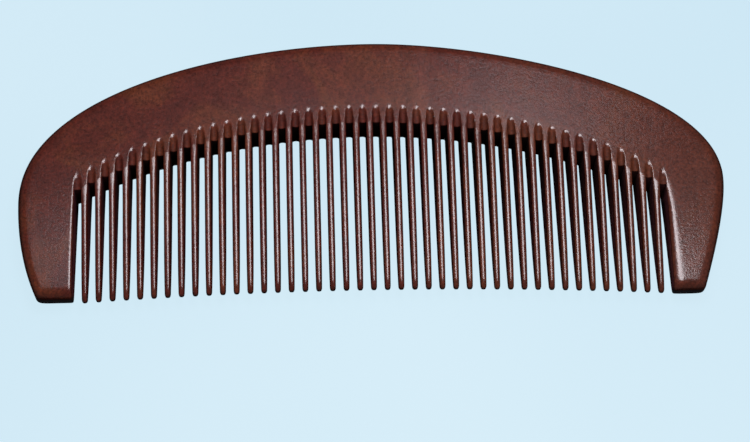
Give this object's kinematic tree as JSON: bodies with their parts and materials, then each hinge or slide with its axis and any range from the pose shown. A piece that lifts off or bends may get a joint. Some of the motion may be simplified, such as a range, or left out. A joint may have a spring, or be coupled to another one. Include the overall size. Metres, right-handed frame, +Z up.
{
  "type": "hair comb",
  "caption": "Curved wooden hair comb: an arched spine, fine straight teeth that thin to rounded tips, and a broad guard tooth at each end.",
  "frame": {"origin": "under the middle of the comb's outer box, level with the back face it lies on", "axes": "+X along the comb's length, +Y from the tooth tips towards the crown of the spine, +Z up through the thickness, out of the front face"},
  "size_m": [0.1822, 0.0694, 0.0118],
  "materials": {
    "wood": "satin, hand polished"
  },
  "bodies": {
    "root": {"spine": "wood", "left_guard_tooth": "wood", "right_guard_tooth": "wood", "tooth_01": "wood", "tooth_02": "wood", "tooth_03": "wood", "tooth_04": "wood", "tooth_05": "wood", "tooth_06": "wood", "tooth_07": "wood", "tooth_08": "wood", "tooth_09": "wood", "tooth_10": "wood", "tooth_11": "wood", "tooth_12": "wood", "tooth_13": "wood", "tooth_14": "wood", "tooth_15": "wood", "tooth_16": "wood", "tooth_17": "wood", "tooth_18": "wood", "tooth_19": "wood", "tooth_20": "wood", "tooth_21": "wood", "tooth_22": "wood", "tooth_23": "wood", "tooth_24": "wood", "tooth_25": "wood", "tooth_26": "wood", "tooth_27": "wood", "tooth_28": "wood", "tooth_29": "wood", "tooth_30": "wood", "tooth_31": "wood", "tooth_32": "wood", "tooth_33": "wood", "tooth_34": "wood", "tooth_35": "wood", "tooth_36": "wood", "tooth_37": "wood", "tooth_38": "wood", "tooth_39": "wood", "tooth_40": "wood", "tooth_41": "wood", "tooth_42": "wood", "tooth_43": "wood"}
  },
  "joints": []
}
